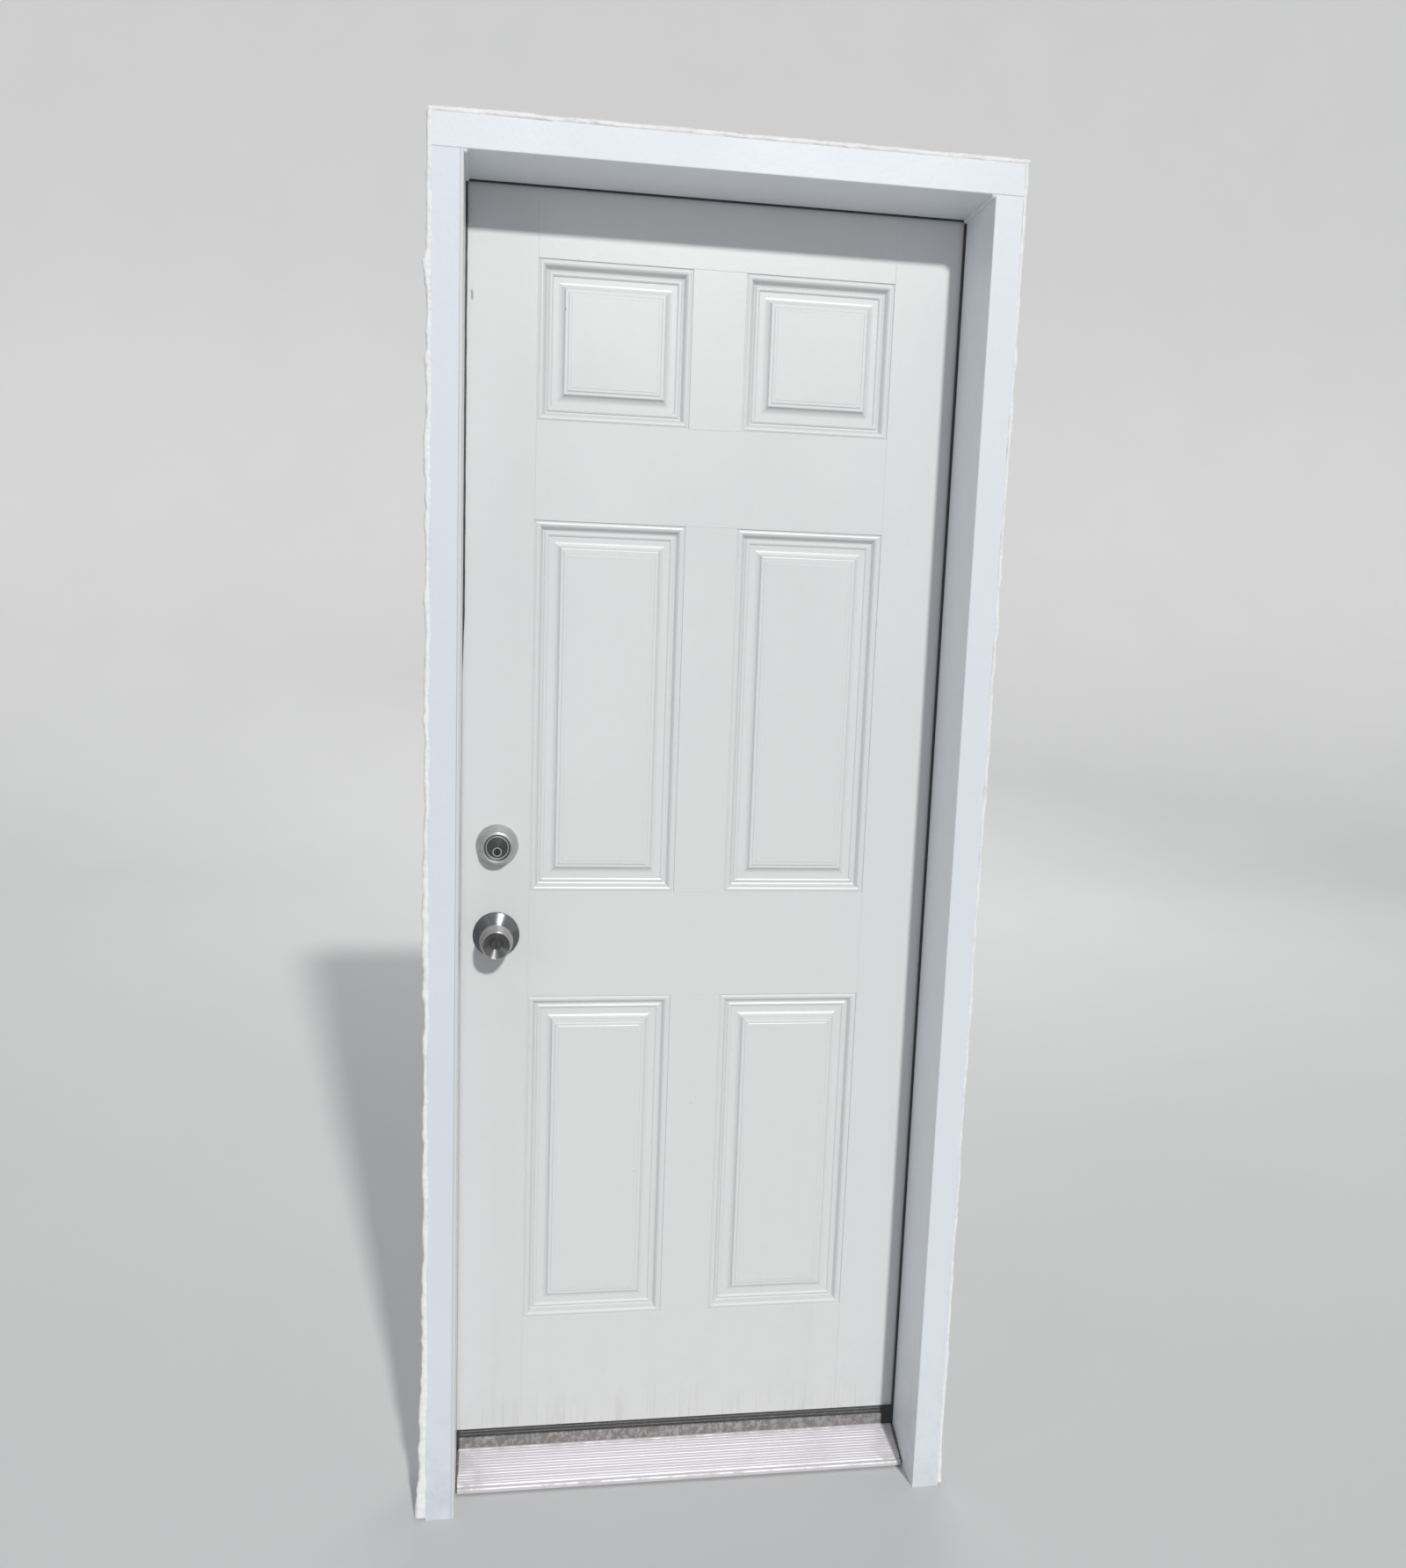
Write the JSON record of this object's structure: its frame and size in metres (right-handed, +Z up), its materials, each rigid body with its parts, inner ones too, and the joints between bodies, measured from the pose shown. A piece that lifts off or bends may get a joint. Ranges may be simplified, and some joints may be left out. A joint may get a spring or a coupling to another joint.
{
  "type": "panelled front door in its frame",
  "caption": "Inward-opening six-panel steel front door hung in a rabbeted frame with flat outside casing, aluminium threshold, deadbolt and keyed knob.",
  "frame": {"origin": "centre of the sill's underside, at mid width and mid depth of the frame", "axes": "+X to the right seen from outside, +Y into the room, +Z up"},
  "size_m": [0.8246, 0.226, 2.029],
  "materials": {
    "casing_paint": "satin paint",
    "frame_paint": "satin paint",
    "door_paint": "satin paint",
    "timber": "bare",
    "foam": "matte",
    "sill_board": "weathered paint",
    "sill_composite": "matte",
    "sill_cap": "matte",
    "mill_aluminium": "mill",
    "seal_foam": "matte",
    "sweep_vinyl": "matte",
    "plated_steel": "satin",
    "satin_nickel": "satin",
    "lock_face": "satin",
    "key_plug": "worn"
  },
  "bodies": {
    "frame": {"jamb_left": "frame_paint", "jamb_right": "frame_paint", "jamb_head": "frame_paint", "casing_left": "casing_paint", "casing_right": "casing_paint", "casing_head": "casing_paint", "sub_sill": "sill_board", "sill_core": "sill_composite", "threshold_deck": "mill_aluminium", "threshold_cap": "sill_cap", "weatherstrip_left": "seal_foam", "weatherstrip_right": "seal_foam", "weatherstrip_head": "seal_foam", "corner_pad_left": "seal_foam", "corner_pad_right": "seal_foam", "latch_strike": "plated_steel", "deadbolt_strike": "plated_steel", "strike_screws": "plated_steel", "hinge_jamb_low": "plated_steel", "hinge_jamb_mid": "plated_steel", "hinge_jamb_top": "plated_steel", "hinge_pin_low": "plated_steel", "hinge_pin_mid": "plated_steel", "hinge_pin_top": "plated_steel", "hinge_jamb_screws": "plated_steel"},
    "door": {"door_skin_outer": "door_paint", "door_skin_inner": "door_paint", "door_core": "foam", "stile_lock": "timber", "stile_hinge": "timber", "rail_top": "timber", "rail_bottom": "timber", "lock_block": "timber", "door_sweep": "sweep_vinyl", "hinge_door_low": "plated_steel", "hinge_door_mid": "plated_steel", "hinge_door_top": "plated_steel", "hinge_door_screws": "plated_steel", "face_plate_latch": "plated_steel", "face_plate_bolt": "plated_steel", "face_plate_screws": "plated_steel", "latch_case": "plated_steel", "deadbolt_case": "plated_steel", "deadbolt_collar": "satin_nickel", "deadbolt_cylinder": "lock_face", "deadbolt_plate": "satin_nickel", "deadbolt_screws": "plated_steel", "knob_rose_outer": "satin_nickel", "knob_rose_inner": "satin_nickel", "knob_chassis": "plated_steel"},
    "deadbolt_thumb_turn": {"deadbolt_turn": "satin_nickel"},
    "deadbolt_key_plug": {"deadbolt_key": "lock_face"},
    "deadbolt_bolt": {"deadbolt_bolt": "plated_steel"},
    "outer_knob": {"knob_outer": "satin_nickel"},
    "outer_knob_key_plug": {"knob_key": "key_plug"},
    "inner_knob": {"knob_inner": "satin_nickel"},
    "inner_knob_button": {"knob_button": "satin_nickel"},
    "latch_bolt": {"latch_bolt": "plated_steel"}
  },
  "joints": [
    {"name": "door_swing", "type": "hinge", "parent": "frame", "child": "door", "pos_m": [0.3794, 0.0835, 1], "axis": [0, 0, -1], "range_deg": [0, 110]},
    {"name": "deadbolt_slide", "type": "slide", "parent": "door", "child": "deadbolt_bolt", "axis": [-1, 0, 0], "range_m": [0, 0.0254]},
    {"name": "thumb_turn", "type": "hinge", "parent": "door", "child": "deadbolt_thumb_turn", "pos_m": [-0.3138, 0.09, 1.0306], "axis": [0, 1, 0], "range_deg": [0, 90]},
    {"name": "deadbolt_key_turn", "type": "hinge", "parent": "door", "child": "deadbolt_key_plug", "pos_m": [-0.3138, 0.02, 1.0306], "axis": [0, 1, 0], "range_deg": [0, 90]},
    {"name": "outer_knob_turn", "type": "hinge", "parent": "door", "child": "outer_knob", "pos_m": [-0.3138, 0, 0.8974], "axis": [0, 1, 0], "range_deg": [0, 60]},
    {"name": "inner_knob_turn", "type": "hinge", "parent": "door", "child": "inner_knob", "pos_m": [-0.3138, 0.1, 0.8974], "axis": [0, 1, 0], "range_deg": [0, 60]},
    {"name": "latch_slide", "type": "slide", "parent": "door", "child": "latch_bolt", "axis": [-1, 0, 0], "range_m": [0, 0.0127]},
    {"name": "knob_key_turn", "type": "hinge", "parent": "outer_knob", "child": "outer_knob_key_plug", "pos_m": [-0.3138, -0.02, 0.8974], "axis": [0, 1, 0], "range_deg": [0, 90]},
    {"name": "knob_button_turn", "type": "hinge", "parent": "inner_knob", "child": "inner_knob_button", "pos_m": [-0.3138, 0.14, 0.8974], "axis": [0, 1, 0], "range_deg": [0, 90]}
  ],
  "couplings": [
    {"joint": "thumb_turn", "follows": "deadbolt_slide", "rad_per_m": 61.84},
    {"joint": "deadbolt_key_turn", "follows": "deadbolt_slide", "rad_per_m": 61.84},
    {"joint": "inner_knob_turn", "follows": "outer_knob_turn", "ratio": 1},
    {"joint": "latch_slide", "follows": "outer_knob_turn", "m_per_rad": 0.012127}
  ]
}
